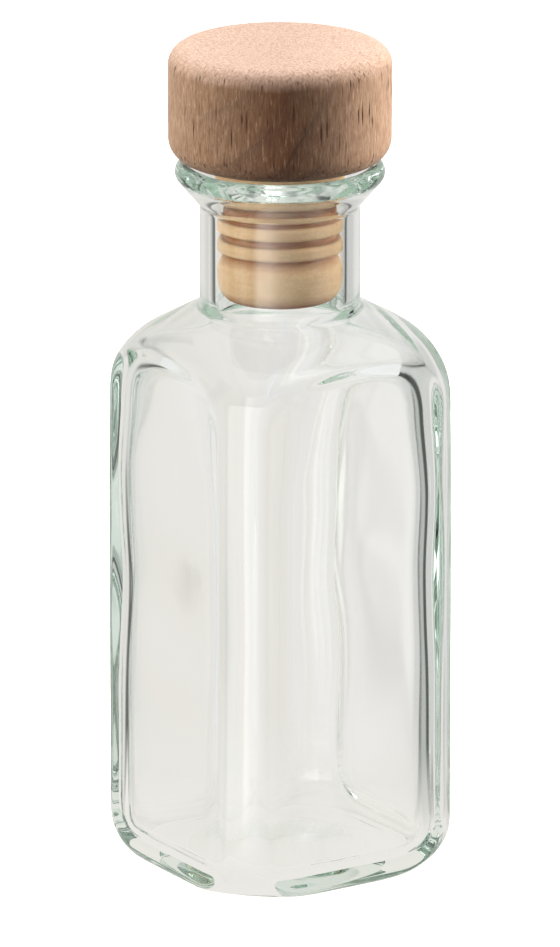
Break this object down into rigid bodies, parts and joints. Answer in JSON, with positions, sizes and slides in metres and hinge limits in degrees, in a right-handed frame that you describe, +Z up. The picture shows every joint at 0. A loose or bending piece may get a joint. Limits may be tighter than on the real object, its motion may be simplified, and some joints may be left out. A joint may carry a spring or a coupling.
{
  "type": "stoppered glass bottle",
  "caption": "Square clear glass apothecary bottle with cut corners, domed shoulder and flared lip, closed by a wooden-headed T-stopper with a ribbed moulded shank.",
  "frame": {"origin": "centre of the bottle's base, on the surface it stands on", "axes": "+Z up along the bottle's axis, +X and -Y through two neighbouring wide faces"},
  "size_m": [0.039, 0.039, 0.1206],
  "materials": {
    "clear_glass": "fire-polished, faintly green",
    "beech": "turned and sanded, thin satin lacquer",
    "cured_glue": "translucent",
    "moulded_elastomer": "speckled matt cream"
  },
  "bodies": {
    "bottle": {"glass_bottle": "clear_glass"},
    "stopper": {"stopper_head": "beech", "stopper_glue": "cured_glue", "stopper_shank": "moulded_elastomer"}
  },
  "joints": [
    {"name": "stopper_lift", "type": "slide", "parent": "bottle", "child": "stopper", "axis": [0, 0, 1], "range_m": [0, 0.045]}
  ]
}
